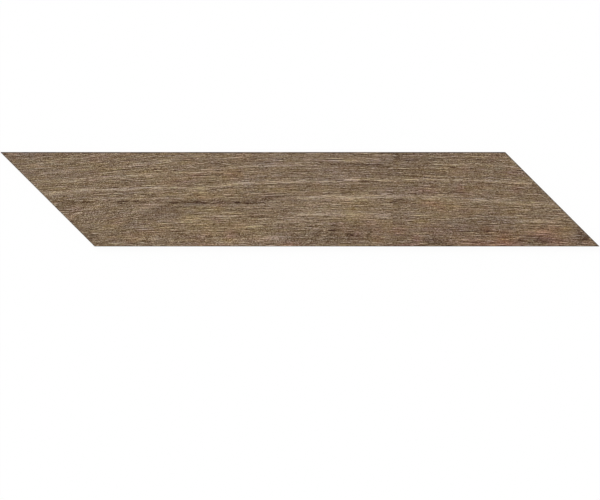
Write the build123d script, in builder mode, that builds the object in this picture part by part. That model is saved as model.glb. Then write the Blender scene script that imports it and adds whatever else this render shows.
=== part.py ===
"""Wood-look porcelain floor tile for a chevron floor.

One pressed, fired and edge-ground piece: a parallelogram with two mitred ends, a flat
wear face with a ground bevel round it, and a back pressed into shallow cells that key
the tile to its adhesive. The tile lies face up. X runs along the wood grain, and the
origin is in the middle of the back.
"""

import os
from math import radians, sin, tan

from build123d import *

# Driving dimensions, in millimetres and degrees
tile_length = 600.0  # from tip to tip
tile_width = 94.5  # from one long edge to the other
tile_thickness = 9.5
mitre_angle = 45.0  # between a mitred end and the long edges
bevel_width = 0.5  # ground bevel round the wear face, the same across and down
border_width = 6.0  # plain margin between the edges and the field of cells
rib_width = 2.4  # raised rib between two cells
cell_size = 12.0  # smallest size of a cell, square to its sides
cell_corner = 1.2  # clipped off each side of a cell at its corners
cell_depth = 0.8
cell_draft = 15.0  # lean of a cell's walls, so that the tile leaves the press

# How far a width square to the mitre, or a height across the tile, reaches along X
along_per_square = 1 / sin(radians(mitre_angle))
along_per_across = 1 / tan(radians(mitre_angle))


def parallelogram(side_along, height_across):
    """Corners of the tile or of a cell, anticlockwise: two sides along X, two mitred."""
    lean = height_across * along_per_across
    right = (side_along + lean) / 2
    top = height_across / 2
    return [(-right, top), (-right + lean, -top), (right, -top), (right - lean, top)]


def cells_that_fit(room):
    """How many cells of at least the smallest size, with ribs between, fit in a length."""
    return max(1, int((room + rib_width) // (cell_size + rib_width)))


# The tile's long side, and the field of cells inside the plain border
edge_length = tile_length - tile_width * along_per_across
field_across = tile_width - 2 * border_width
field_square = edge_length / along_per_square - 2 * border_width

# The cells share the field out evenly, in rows across it and columns along it
rows = cells_that_fit(field_across)
columns = cells_that_fit(field_square)
cell_across = (field_across - (rows - 1) * rib_width) / rows
cell_along = (field_square - (columns - 1) * rib_width) / columns * along_per_square
row_pitch = cell_across + rib_width
column_pitch = cell_along + rib_width * along_per_square


def cell_centres():
    """Cell centres: each row is shifted along X so that the columns follow the mitres."""
    for row in range(rows):
        across = (row - (rows - 1) / 2) * row_pitch
        for column in range(columns):
            along = (column - (columns - 1) / 2) * column_pitch
            yield along - across * along_per_across, across


# The shape that the press punch leaves for one cell, open side down
with BuildPart() as cell:
    with BuildSketch() as cell_outline:
        Polygon(*parallelogram(cell_along, cell_across), align=None)
        chamfer(cell_outline.vertices(), length=cell_corner)
    extrude(amount=cell_depth, taper=cell_draft)

with BuildPart() as tile:
    with BuildSketch():
        Polygon(*parallelogram(edge_length, tile_width), align=None)
    extrude(amount=tile_thickness)

    wear_face = tile.faces().sort_by(Axis.Z)[-1]
    chamfer(wear_face.edges(), length=bevel_width)

    with Locations(*cell_centres()):
        add(cell.part, mode=Mode.SUBTRACT)

tile.part.label = "tile"
os.makedirs("parts", exist_ok=True)
export_step(tile.part, "parts/tile.step")
print(f"tile: {rows} rows of {columns} cells, {tile.part.volume / 1000:.1f} cm3")
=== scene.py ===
# %% [markdown]
# # A wood-look porcelain floor tile
# The object is one fired tile for a chevron floor: a flat bar of porcelain with both ends cut
# at an angle, a printed wood face and a back pressed into shallow cells. Nothing on it moves and
# nothing is fixed to it, so it is one closed mesh here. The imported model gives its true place
# and size, and the sizes below are worked out from that box.

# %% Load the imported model
from math import pi, radians, sin, tan

import bpy
import numpy as np
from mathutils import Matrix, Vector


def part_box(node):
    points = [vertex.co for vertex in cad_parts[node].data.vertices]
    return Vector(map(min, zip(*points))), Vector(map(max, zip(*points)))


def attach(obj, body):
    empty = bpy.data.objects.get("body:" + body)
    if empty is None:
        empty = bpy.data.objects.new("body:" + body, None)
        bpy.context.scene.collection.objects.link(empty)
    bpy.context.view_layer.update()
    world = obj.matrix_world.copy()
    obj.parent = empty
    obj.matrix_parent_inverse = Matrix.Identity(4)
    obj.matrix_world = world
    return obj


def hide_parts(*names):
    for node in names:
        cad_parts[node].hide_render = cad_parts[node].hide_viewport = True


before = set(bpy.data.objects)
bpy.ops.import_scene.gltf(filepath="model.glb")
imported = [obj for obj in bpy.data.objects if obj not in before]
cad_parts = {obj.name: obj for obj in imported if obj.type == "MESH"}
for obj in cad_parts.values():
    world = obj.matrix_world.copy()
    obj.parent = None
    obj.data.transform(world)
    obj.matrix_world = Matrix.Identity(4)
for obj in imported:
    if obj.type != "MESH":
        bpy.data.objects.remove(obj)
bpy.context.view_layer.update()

MM = 0.001
tile_low, tile_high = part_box("tile")
tile_length, tile_width, tile_thickness = tile_high - tile_low
print(f"tile box: {tile_length / MM:.1f} x {tile_width / MM:.1f} x {tile_thickness / MM:.1f} mm")

# %% [markdown]
# ## The plan of the tile
# Seen from above the tile is a parallelogram: two long edges along the grain and two mitred
# ends. A slanted grid fits it better than a square one, because its columns run along the
# mitres and its rows along the grain, so that no cell is cut by an edge. A point of that grid
# is two shares from 0 to 1, and one function turns shares into a place in metres.

# %% Shares of the tile to places on it
mitre_angle = radians(45)
bevel_width = 0.5 * MM
along_per_across = 1 / tan(mitre_angle)
along_per_square = 1 / sin(mitre_angle)
edge_length = tile_length - tile_width * along_per_across


def on_tile(share_along, share_across, inset):
    """Place in plan of a point on the slanted grid.

    The share across counts from the front edge to the rear edge, and the share along from the
    left mitre to the right one. Every row slides along by its height times the cotangent of
    the mitre, and inset moves all four edges inwards, square to each.
    """
    across = (share_across - 0.5) * (tile_width - 2 * inset)
    side = edge_length - 2 * inset * along_per_square
    along = (share_along - 0.5) * side - across * along_per_across
    return along, across


print(f"long edges {edge_length / MM:.1f} mm, mitred ends {tile_width * along_per_square / MM:.1f} mm")

# %% [markdown]
# ## The grid of the wear face
# The wood figure is fine across the grain and long along it, so the cells of the face are too:
# about 2 mm along by 0.3 mm across. That is fine enough for the relief to be real geometry.

# %% Points of the wear face, in millimetres
FACE_ALONG = 240
FACE_ACROSS = 330
face_share_along, face_share_across = np.meshgrid(
    np.linspace(0, 1, FACE_ALONG + 1), np.linspace(0, 1, FACE_ACROSS + 1), indexing="ij"
)
face_x, face_y = on_tile(face_share_along, face_share_across, bevel_width)
along = (face_x - tile_low.x) / MM
down = (tile_high.y - face_y) / MM
print(f"face grid: {along.size} points, {along.min():.1f} to {along.max():.1f} mm along")

# %% [markdown]
# ## How the fibres run
# In a sawn board the fibres are never quite parallel to its edge. Here they rise towards the
# right on the left third, lie level in the middle and fall on the right third. A parabola says
# that in one line. In two places on the left they climb more steeply, as they do beside a knot,
# and slow noise makes them wander. Everything that follows the grain, in the mesh and in the
# material, reads these bent coordinates.

# %% Smooth noise and the bent grain
def smooth_noise(u, v, cell_u, cell_v, seed):
    """Random field that changes over about one cell.

    A normal random number sits on each corner of a grid of cells. Inside a cell the four
    corners are blended, with the weight 3t^2 - 2t^3 along each side.
    """
    u = u / cell_u
    v = v / cell_v
    corner_u = np.floor(u).astype(int)
    corner_v = np.floor(v).astype(int)
    t_u = u - corner_u
    t_v = v - corner_v
    weight_u = t_u**2 * (3 - 2 * t_u)
    weight_v = t_v**2 * (3 - 2 * t_v)
    corner_u -= corner_u.min()
    corner_v -= corner_v.min()
    shape = (corner_u.max() + 2, corner_v.max() + 2)
    value = np.random.default_rng(seed).standard_normal(shape)
    near = value[corner_u, corner_v] * (1 - weight_v) + value[corner_u, corner_v + 1] * weight_v
    far = value[corner_u + 1, corner_v] * (1 - weight_v) + value[corner_u + 1, corner_v + 1] * weight_v
    return near * (1 - weight_u) + far * weight_u


RISE_AT_MIDDLE = 0.012
RISE_LOST_PER_MM = 0.0002
WANDER = 0.3
climbs = [(115, 66, 55, 11, 0.10), (110, 5, 70, 14, 0.10)]
from_middle = along - tile_length / MM / 2
fibre_rise = RISE_AT_MIDDLE * from_middle - RISE_LOST_PER_MM / 2 * from_middle**2
for middle, depth, reach_along, reach_across, rise in climbs:
    near_climb = np.exp(-(((along - middle) / reach_along) ** 2) - ((down - depth) / reach_across) ** 2)
    fibre_rise += rise * (along - middle) * near_climb
wander = WANDER * smooth_noise(along, down, 45, 14, seed=1)
grain_across = down + fibre_rise + wander
print(f"fibres rise {np.ptp(fibre_rise):.1f} mm over the tile and wander by {WANDER} mm")

# %% [markdown]
# ## Marks on the wood
# Noise alone gives wood in general. What makes this board this board is its own marks: pale
# streaks, dark checks, smears and stains. Each is a short stroke, given in millimetres
# from the left tip and down from the rear edge. A stroke is (start, end, down at its start,
# down at its end, strength), where a strength of 1 is one step of the wood's usual contrast.

# %% Pale streaks and flecks
pale_streaks = [
    (28, 45, 13.5, 10.5, 1.2), (45, 62, 10.5, 7.2, 1.3), (54, 71, 19.6, 18.2, 1.5),
    (42, 52, 22.0, 20.8, 1.2), (63, 84, 30.0, 27.0, 1.3), (97, 111, 27.5, 25.0, 1.5),
    (111, 135, 25.6, 25.4, 1.8), (125, 147, 23.3, 22.8, 2.2), (126, 165, 21.5, 20.8, 1.2),
    (67, 98, 37.4, 37.4, 1.7), (98, 140, 37.8, 37.4, 1.8), (131, 165, 35.2, 35.0, 1.8),
    (50, 65, 43.5, 39.7, 1.6), (84, 92, 58.0, 55.0, 0.5),
    (133, 148, 59.7, 53.5, 1.2), (148, 164, 53.0, 51.0, 0.9),
    (148, 164, 72.0, 69.0, 1.2), (104, 112, 73.5, 73.5, 1.0), (155, 174, 8.6, 8.6, 1.8),
    (232, 256, 16.3, 14.1, 1.5), (256, 280, 14.1, 15.0, 2.2), (145, 153, 23.6, 23.6, 2.5),
    (163, 182, 21.2, 21.2, 1.6), (182, 207, 21.5, 20.8, 1.3), (149, 162, 35.9, 35.9, 2.0),
    (165, 193, 35.5, 35.5, 1.8), (193, 214, 35.6, 35.6, 1.2), (216, 243, 34.7, 30.5, 1.5),
    (236, 260, 31.2, 30.4, 2.5), (260, 316, 30.3, 29.6, 1.5), (198, 242, 64.2, 64.2, 3.4),
    (222, 229, 42.9, 42.9, 2.0), (145, 164, 39.4, 39.4, 1.2), (272, 300, 70.3, 70.3, 1.6),
    (243, 263, 75.5, 73.0, 1.3), (258, 280, 86.0, 86.0, 1.6), (318, 342, 29.2, 29.4, 1.9),
    (344, 361, 27.5, 27.5, 2.3), (343, 368, 9.5, 9.5, 1.7), (307, 327, 45.0, 45.0, 1.7),
    (335, 361, 47.0, 47.0, 1.8), (367, 397, 43.7, 43.7, 2.0), (397, 416, 43.6, 42.3, 1.5),
    (297, 328, 62.3, 62.3, 1.8), (338, 363, 62.3, 62.3, 1.6), (364, 374, 63.6, 63.6, 1.0),
    (377, 393, 64.8, 64.8, 1.8), (401, 436, 27.6, 27.6, 2.0), (444, 468, 28.3, 27.5, 1.7),
    (472, 502, 28.8, 28.8, 1.8), (515, 535, 31.5, 31.8, 1.2), (427, 455, 43.3, 43.3, 1.2),
    (447, 455, 49.3, 49.3, 1.7), (433, 455, 11.7, 11.7, 1.2), (367, 378, 70.5, 70.5, 1.2),
    (500, 509, 14.0, 14.0, 1.4), (510, 519, 14.8, 14.8, 1.8), (449, 465, 12.5, 12.5, 1.6),
    (469, 488, 48.2, 48.2, 1.2), (493, 506, 48.8, 48.8, 1.4), (512, 535, 52.3, 52.3, 1.1),
    (551, 555, 53.0, 53.0, 2.0), (517, 557, 69.5, 70.5, 1.8), (451, 459, 58.3, 58.3, 1.6),
    (537, 555, 80.0, 80.0, 1.4), (75, 77, 39.0, 39.0, 2.5), (121, 123, 70.6, 71.0, 3.0),
    (135, 136, 41.0, 43.5, 2.5), (175, 178, 71.0, 71.0, 1.8), (242, 246, 89.0, 90.0, 2.0),
    (220, 221, 86.5, 89.5, 2.5), (201, 206, 84.0, 88.0, 1.3), (152, 164, 86.9, 86.9, 1.4),
    (302, 304, 77.0, 77.0, 3.0), (323, 326, 78.3, 78.3, 3.0), (305, 308, 83.5, 83.5, 2.0),
    (308, 311, 81.5, 81.0, 1.8), (319, 324, 84.5, 84.5, 1.8), (317, 320, 87.0, 88.5, 1.6),
    (320, 324, 86.4, 86.0, 1.8), (301, 304, 89.0, 89.0, 2.0), (287, 292, 90.0, 90.0, 1.6),
    (362, 366, 84.0, 80.5, 1.4), (353, 358, 86.0, 86.0, 1.5), (221, 223, 88.0, 90.5, 2.0),
    (204, 207, 88.5, 88.5, 2.8), (201, 204, 81.2, 81.2, 2.0), (203, 208, 82.5, 82.5, 1.6),
    (216, 218, 85.0, 85.0, 2.0), (243, 245, 86.0, 86.0, 2.0), (188, 192, 79.5, 79.5, 1.4),
    (195, 198, 77.5, 77.5, 1.5), (151, 155, 86.5, 87.5, 1.4), (158, 163, 85.8, 85.8, 1.3),
    (240, 245, 73.0, 74.5, 1.2), (505, 517, 79.2, 79.2, 1.8), (535, 546, 79.3, 79.3, 1.4),
    (519, 523, 69.5, 69.5, 1.8), (543, 549, 92.3, 92.3, 1.8), (583, 590, 91.0, 91.0, 1.2),
    (416, 424, 74.2, 74.2, 1.8), (454, 457, 86.2, 86.2, 1.4), (433, 436, 84.5, 85.0, 1.6),
    (440, 442, 86.0, 87.5, 1.4), (400, 406, 91.5, 91.5, 1.4), (81, 85, 72.0, 74.5, 1.5),
    (187, 198, 67.0, 67.0, 1.0), (198, 214, 66.8, 66.8, 1.8),
    (80, 100, 17.5, 14.5, 0.9), (90, 130, 46.5, 46.0, 1.0), (115, 150, 47.0, 46.5, 0.8),
    (60, 75, 44.0, 44.0, 0.8), (122, 138, 90.0, 89.5, 1.2), (150, 160, 90.5, 90.5, 1.0),
    (311, 327, 10.5, 11.0, 1.4), (360, 395, 18.5, 17.5, 0.8), (335, 352, 30.0, 27.0, 0.9),
    (424, 446, 38.3, 38.3, 1.0), (352, 374, 45.2, 45.2, 1.4), (410, 434, 63.2, 63.2, 1.6),
    (328, 342, 61.5, 61.5, 1.2), (448, 472, 13.2, 13.2, 1.0), (502, 515, 51.5, 52.5, 0.9),
    (530, 545, 49.8, 49.8, 1.0), (526, 540, 60.0, 60.0, 0.9), (560, 570, 66.0, 67.0, 1.2),
    (262, 286, 75.6, 76.0, 1.0), (255, 270, 71.5, 71.5, 0.9), (205, 237, 28.2, 27.0, 1.0),
    (30, 40, 6.0, 5.2, 1.0), (362, 382, 47.6, 48.4, 0.9), (530, 546, 42.0, 42.5, 1.0),
    (558, 570, 64.4, 64.4, 1.2),
]
print(f"{len(pale_streaks)} pale streaks and flecks")

# %% Dark checks and smears
dark_checks = [
    (53, 60, 49.3, 49.3, 1.8), (57, 63, 48.2, 46.4, 1.8), (63, 65, 43.0, 44.8, 3.0),
    (62, 65, 46.8, 45.2, 1.8), (67, 75, 49.2, 50.5, 3.2), (72, 75, 50.3, 50.3, 2.0),
    (82, 88, 49.3, 50.4, 2.4), (86, 92, 50.4, 51.3, 3.8), (114, 121, 49.9, 50.2, 3.4),
    (117, 122, 51.4, 51.2, 2.4), (121, 130, 48.8, 50.0, 2.4), (132, 139, 49.4, 49.6, 2.2),
    (138, 143, 50.6, 50.1, 2.4), (142, 148, 50.2, 51.1, 4.2), (87, 96, 20.6, 20.6, 1.6),
    (98, 107, 34.5, 34.5, 1.8),
    (73, 80, 41.2, 41.2, 1.8), (111, 130, 31.7, 31.7, 1.3), (93, 109, 40.5, 40.5, 1.4),
    (89, 94, 86.5, 86.5, 1.8), (80, 84, 61.5, 64.5, 1.5), (99, 111, 80.8, 80.8, 1.5),
    (129, 147, 80.0, 80.0, 1.4), (84, 86, 10.2, 10.2, 2.0), (138, 145, 6.0, 6.0, 1.6),
    (47, 62, 3.3, 3.3, 1.2), (98, 111, 9.5, 9.5, 1.2), (169, 179, 50.4, 51.4, 2.2),
    (180, 187, 48.8, 50.4, 2.6), (185, 192, 50.4, 50.8, 4.6), (192, 200, 49.6, 49.3, 4.0),
    (197, 205, 49.2, 50.2, 2.2), (193, 201, 51.0, 51.6, 1.8), (201, 207, 51.5, 51.3, 2.2),
    (206, 212, 51.6, 49.3, 2.4), (219, 223, 51.2, 49.0, 2.6), (222, 230, 49.6, 49.9, 2.2),
    (231, 238, 49.4, 50.6, 2.4), (235, 241, 50.5, 51.2, 4.4), (241, 250, 48.6, 48.2, 2.4),
    (243, 250, 51.0, 51.6, 4.4), (249, 256, 51.6, 50.6, 2.6), (252, 260, 50.6, 51.0, 2.4),
    (258, 266, 51.0, 50.8, 1.8), (203, 223, 11.4, 11.4, 2.2),
    (242, 264, 9.5, 9.5, 2.2), (216, 223, 18.4, 18.4, 2.4), (233, 243, 17.6, 17.6, 2.0),
    (200, 214, 30.3, 30.3, 2.0), (214, 236, 30.0, 28.0, 0.8), (188, 200, 24.0, 24.0, 1.8),
    (246, 250, 36.5, 33.3, 2.2), (250, 278, 33.0, 33.0, 1.2), (267, 309, 32.4, 32.4, 0.8),
    (221, 232, 35.9, 35.9, 1.8), (265, 286, 44.4, 44.4, 2.2), (260, 269, 40.6, 40.6, 1.8),
    (230, 245, 59.3, 59.3, 2.2), (198, 242, 65.5, 65.5, 3.4), (245, 272, 64.7, 64.7, 2.0),
    (259, 274, 74.7, 74.7, 2.0), (243, 252, 77.0, 77.0, 1.6), (178, 182, 82.4, 82.4, 3.0),
    (232, 242, 81.0, 81.0, 2.5), (288, 309, 19.2, 19.2, 1.5), (298, 309, 8.0, 8.0, 1.2),
    (152, 178, 85.5, 85.5, 1.6), (205, 212, 84.5, 84.5, 1.5), (332, 352, 11.5, 11.5, 1.8),
    (352, 365, 11.8, 11.8, 3.5), (365, 384, 12.3, 12.3, 3.0), (388, 393, 11.9, 11.9, 3.2),
    (387, 390, 15.0, 15.0, 3.0), (392, 401, 5.5, 5.5, 2.5), (359, 370, 29.4, 29.4, 2.5),
    (370, 379, 29.6, 29.6, 1.8), (339, 359, 40.5, 40.5, 2.0), (368, 379, 40.4, 40.4, 2.0),
    (394, 403, 47.2, 47.2, 2.6), (408, 417, 41.5, 41.5, 1.8), (417, 434, 40.5, 40.5, 2.2),
    (350, 363, 84.2, 84.2, 3.0), (329, 340, 78.0, 78.0, 2.2), (404, 414, 84.2, 84.2, 2.5),
    (393, 423, 30.3, 30.3, 1.6), (392, 423, 24.5, 24.5, 1.3), (393, 429, 17.8, 17.8, 1.3),
    (421, 427, 58.7, 58.7, 1.5), (321, 329, 64.5, 64.5, 1.5), (298, 307, 64.6, 64.6, 1.8),
    (388, 393, 65.3, 65.3, 2.2), (361, 368, 21.4, 21.4, 2.0), (388, 401, 58.3, 58.3, 1.5),
    (350, 359, 74.3, 74.3, 1.8), (435, 443, 22.3, 22.3, 2.0), (447, 467, 14.6, 14.6, 2.0),
    (472, 524, 30.5, 33.3, 1.6), (529, 537, 33.4, 33.4, 1.8), (455, 467, 40.4, 40.4, 2.0),
    (474, 481, 52.3, 52.3, 2.2), (489, 499, 52.3, 52.3, 2.0), (495, 498, 58.2, 58.2, 3.0),
    (539, 546, 53.5, 53.5, 2.2), (562, 569, 69.5, 69.5, 2.2), (474, 478, 79.7, 79.7, 3.0),
    (482, 490, 79.7, 79.7, 1.8), (496, 508, 80.3, 80.3, 2.8), (500, 513, 71.0, 71.0, 1.6),
    (531, 540, 58.7, 58.7, 1.5), (531, 541, 65.2, 65.2, 1.3),
    (336, 331, 72.0, 75.2, 1.7), (328, 337, 78.5, 78.4, 1.5), (337, 343, 77.4, 78.8, 1.7),
    (329, 333, 84.4, 81.0, 1.7), (344, 349, 80.0, 83.0, 1.5), (346, 350, 83.0, 86.0, 1.7),
    (348, 353, 81.6, 82.6, 1.5), (366, 370, 84.6, 82.6, 1.7), (368, 373, 82.5, 79.0, 1.7),
    (363, 370, 86.2, 86.5, 1.7), (352, 356, 73.5, 73.7, 1.5), (306, 310, 76.0, 78.2, 1.4),
    (299, 302, 77.6, 78.6, 1.4), (291, 296, 82.0, 82.0, 1.5), (307, 309, 80.0, 80.0, 1.5),
    (312, 317, 83.0, 85.2, 1.4), (314, 318, 89.4, 86.6, 1.4), (311, 314, 86.0, 88.0, 1.4),
    (326, 331, 92.0, 87.0, 1.7), (334, 336, 81.0, 82.4, 1.5), (180, 183, 82.8, 82.8, 3.0),
    (204, 212, 84.2, 83.6, 1.8), (216, 219, 82.8, 84.6, 2.2), (237, 239, 82.3, 82.3, 2.2),
    (223, 228, 77.0, 77.0, 2.0), (166, 172, 85.6, 85.6, 1.8), (130, 137, 91.3, 91.3, 2.2),
    (147, 150, 89.5, 89.5, 2.0), (470, 485, 90.4, 90.4, 2.6), (486, 490, 79.4, 79.4, 2.0),
    (508, 520, 80.3, 80.3, 1.6), (537, 543, 87.2, 87.2, 2.4), (571, 590, 87.4, 87.2, 2.0),
    (518, 521, 88.0, 88.4, 2.8), (520, 522, 86.4, 86.4, 2.4), (521, 524, 89.0, 89.0, 2.2),
    (541, 549, 89.6, 90.2, 2.4), (526, 534, 90.5, 90.5, 2.0), (553, 560, 88.6, 88.6, 1.6),
    (434, 438, 86.2, 87.0, 2.2), (424, 426, 87.4, 87.6, 2.4), (428, 431, 89.2, 92.0, 2.0),
    (432, 440, 91.2, 91.6, 2.0), (446, 450, 79.2, 80.0, 2.2), (445, 456, 92.8, 92.8, 2.2),
    (405, 411, 90.3, 90.3, 1.8), (487, 490, 68.3, 68.3, 2.6), (298, 285, 72.3, 72.3, 2.0),
    (128, 131, 74.6, 74.4, 1.8), (157, 160, 48.4, 48.4, 2.8), (213, 222, 43.2, 43.4, 2.0),
    (105, 140, 17.7, 17.7, 1.3), (115, 160, 29.7, 29.7, 1.0), (104, 120, 78.3, 78.0, 1.2),
    (98, 115, 92.8, 92.8, 1.5), (192, 202, 43.5, 43.5, 1.2), (264, 274, 31.0, 30.5, 0.8),
    (246, 280, 15.5, 15.3, 1.4), (165, 180, 22.8, 22.8, 1.0), (173, 190, 9.2, 9.2, 1.2),
    (205, 230, 21.8, 21.5, 0.9), (253, 266, 6.2, 6.0, 1.3), (226, 233, 18.2, 18.4, 1.2),
    (232, 240, 20.2, 20.4, 1.2), (262, 270, 54.2, 54.2, 1.4), (234, 247, 56.4, 56.4, 1.0),
    (175, 183, 60.8, 60.8, 1.2), (155, 163, 63.0, 63.0, 1.0), (250, 262, 81.5, 81.5, 1.2),
    (178, 188, 86.8, 86.6, 1.5), (174, 184, 92.6, 92.6, 1.6), (284, 292, 90.2, 90.2, 1.0),
    (294, 304, 2.6, 2.6, 1.6), (298, 312, 34.5, 34.5, 1.4), (334, 346, 15.3, 15.3, 2.0),
    (343, 360, 19.6, 19.4, 1.5), (322, 336, 19.5, 19.5, 1.2), (380, 396, 30.6, 30.8, 1.4),
    (388, 400, 34.0, 34.3, 1.0), (327, 343, 34.5, 34.5, 1.0), (298, 318, 48.6, 48.6, 1.0),
    (440, 460, 46.2, 46.4, 1.4), (420, 436, 80.2, 80.2, 1.2), (418, 431, 92.8, 92.8, 1.4),
    (388, 405, 72.4, 72.4, 1.5), (492, 502, 25.3, 25.3, 1.6), (500, 516, 77.8, 77.8, 1.6),
    (442, 452, 41.5, 41.5, 1.0), (570, 585, 91.8, 91.8, 1.3),
    (266, 290, 72.9, 72.7, 1.2), (199, 215, 35.5, 35.4, 0.9), (38, 56, 12.4, 10.9, 1.0),
    (121, 136, 24.4, 24.0, 1.2), (102, 111, 36.3, 36.3, 1.3), (348, 366, 2.0, 2.2, 1.0),
    (538, 552, 91.2, 91.2, 1.2),
]
dark_smears = [
    (337, 326, 73.0, 92.0, 1.2), (320, 312, 77.0, 92.0, 0.5),
    (353, 346, 74.0, 85.0, 0.8), (337, 330, 83.0, 89.0, 0.6), (374, 367, 76.0, 85.0, 1.0),
    (302, 293, 80.0, 93.0, 0.6), (433, 439, 86.4, 86.4, 0.4), (429, 446, 91.0, 91.0, 0.6),
    (535, 547, 88.8, 88.8, 0.4), (577, 584, 79.0, 82.0, 1.0),
    (584, 590, 86.0, 86.0, 1.8), (395, 400, 1.5, 2.5, 0.9), (147, 167, 60.0, 60.0, 0.6),
]
print(f"{len(dark_checks)} dark checks and {len(dark_smears)} dark smears")

# %% [markdown]
# Bands are the long part of the figure: growth rings cut lengthwise, which run on for a hand's
# width or for the whole board. The last one is no ring but painted shade: a thin dark line along
# the rear edge of the face. Each is (strength, half width, points), and it goes straight
# from each (along, down) point to the next. A negative strength makes a dark band.

# %% Long bands
long_bands = [
    (0.8, 1.6, [(26, 14.2), (45, 10.7), (64, 7.2)]),
    (0.7, 1.5, [(34, 22.5), (55, 20.5), (77, 19)]),
    (0.5, 1.5, [(60, 8.5), (94, 5)]),
    (0.7, 1.8, [(106, 18), (135, 13), (160, 9), (185, 5.5), (210, 1.5)]),
    (0.9, 1.5, [(28, 31), (80, 27.5), (130, 24), (165, 22.5), (205, 20), (230, 16.5), (255, 14)]),
    (0.9, 1.5, [(248, 14.5), (285, 13.5), (315, 10.5)]),
    (1.1, 1.6, [(40, 42), (60, 40), (100, 38), (150, 36), (205, 36), (235, 32), (280, 30), (342, 29)]),
    (1.0, 1.5, [(338, 29), (365, 27.5), (390, 28.5), (420, 27.5), (480, 29), (538, 31.5)]),
    (1.3, 2.2, [(296, 46.5), (330, 45), (362, 45.5), (400, 44.5), (430, 45), (460, 47.5), (505, 48.5)]),
    (0.7, 1.8, [(500, 48.5), (530, 50.5), (558, 52)]),
    (1.2, 2.2, [(290, 63.5), (320, 62), (350, 62), (394, 63.5)]),
    (0.5, 1.5, [(405, 61), (442, 63)]),
    (1.0, 1.5, [(510, 68), (532, 68.5), (562, 70)]),
    (0.8, 1.6, [(222, 77.5), (258, 74), (280, 71), (304, 70)]),
    (0.6, 1.2, [(183, 66.5), (215, 65), (245, 64)]),
    (0.6, 1.5, [(333, 9), (360, 8), (394, 8)]),
    (0.7, 1.4, [(426, 11.5), (455, 12), (480, 13), (522, 14.5)]),
    (0.9, 1.5, [(68, 65.5), (90, 57), (110, 49)]),
    (1.1, 1.4, [(119, 66), (140, 58), (166, 51)]),
    (0.7, 1.3, [(153, 74), (178, 70), (207, 66.5)]),
    (0.5, 1.5, [(126, 88), (150, 86), (180, 85)]),
    (0.6, 2.0, [(252, 88.5), (275, 86), (294, 85)]),
    (-0.8, 1.4, [(48, 49.5), (70, 50), (94, 50)]),
    (-0.7, 1.4, [(110, 50), (130, 49.5), (151, 50)]),
    (-0.9, 1.6, [(164, 50.5), (185, 50), (211, 50.5)]),
    (-0.5, 1.4, [(210, 51), (231, 50)]),
    (-0.9, 1.7, [(227, 50), (245, 50.5), (266, 50.5)]),
    (-0.8, 1.1, [(260, 46.5), (288, 44)]),
    (-1.2, 1.2, [(328, 12.5), (360, 13), (394, 14.5)]),
    (-0.4, 1.6, [(343, 17.5), (394, 17)]),
    (-0.6, 1.8, [(6, 5), (30, 4), (64, 3)]),
    # painted shade: a thin dark line along the whole rear edge, where the face turns down into the bevel
    (-1.2, 0.9, [(-10, 0.4), (250, 0.4), (515, 0.4)]),
]
print(f"{len(long_bands)} long bands")

# %% [markdown]
# Stains are soft ovals rather than strokes. Each is (along, down, reach along, reach across,
# strength). A rust stain reddens the wood. A warm patch is honey-coloured, and with a negative
# strength it is greyer than the rest. A shade is the same oval in tone: it makes a whole patch of
# the board lighter or darker. In a gritty patch the fibres are short and the wood looks grainy.

# %% Rust stains
rust_stains = [
    (14, 3, 4, 3, 0.35), (92, 6, 5, 2.5, 0.4), (105, 5, 9, 2.5, 0.35), (130, 1.5, 5, 1.5, 0.35),
    (91, 21, 6, 1.5, 0.35), (92, 28, 7, 2, 0.35), (135, 13, 6, 1.5, 0.35), (195, 23, 6, 2, 0.6),
    (184, 28, 9, 2.5, 0.45), (165, 30, 6, 2, 0.35), (77, 56, 4, 3, 0.45), (69, 66, 4, 4, 0.4),
    (119, 69, 5, 4, 0.35), (145, 79, 8, 2.5, 0.4), (132, 86, 5, 3.5, 0.45), (178, 72, 4, 2.5, 0.4),
    (160, 80, 5, 2.5, 0.35), (195, 88, 10, 5, 0.3), (243, 4, 7, 4, 0.5), (233, 22, 9, 5, 0.65),
    (229, 40, 5, 4, 0.3), (205, 46, 8, 3, 0.3), (219, 53, 4, 3, 0.4), (218, 68, 4, 3, 0.4),
    (206, 82, 5, 3, 0.5), (230, 83, 5, 5, 0.75), (242, 74, 6, 3, 0.35), (255, 88, 14, 4, 0.3),
    (290, 92.5, 9, 2.5, 0.9), (208, 92.5, 18, 1, 0.6), (318, 33, 4, 2, 0.35), (333, 48, 7, 1.8, 0.4),
    (347, 49.5, 4, 2.5, 0.5), (357, 29, 4, 2.5, 0.35), (343, 75, 5, 4, 0.4), (370, 69, 6, 4, 0.45),
    (357, 82, 6, 4, 0.75), (377, 87, 4, 4, 0.55), (378, 75, 9, 6, 0.4), (398, 79, 6, 4, 0.8),
    (417, 87, 5, 3.5, 0.95), (405, 93, 12, 1.5, 0.9), (428, 38, 11, 3.5, 0.6), (461, 37, 4, 3.5, 0.8),
    (468, 42, 5, 2.5, 0.5), (483, 34, 8, 2.5, 0.4), (486, 41, 4, 2, 0.35), (516, 37, 5, 3.5, 0.9),
    (431, 51.5, 8, 3, 0.95), (442, 57, 4, 3.5, 0.6), (460, 55, 9, 4, 0.35), (486, 56, 4, 2, 0.4),
    (464, 16, 6, 3.5, 0.35), (452, 22, 4, 2.5, 0.35), (494, 6, 4, 2.5, 0.4), (513, 20, 8, 3, 0.5),
    (430, 76, 20, 6, 0.3), (487, 77, 6, 3, 0.6), (465, 87, 20, 5, 0.3), (503, 86, 8, 7, 1.1),
    (485, 92, 22, 3, 1.0), (530, 83, 12, 4, 0.7), (545, 80, 8, 4, 0.8), (555, 88, 13, 6, 1.0),
    (555, 76, 7, 2.5, 0.6), (552, 70, 4, 2, 0.4), (588, 91, 6, 3, 0.5), (515, 91, 9, 3, 0.7),
    (532, 88, 4, 3, -0.5),
]
print(f"{len(rust_stains)} rust stains")

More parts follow.
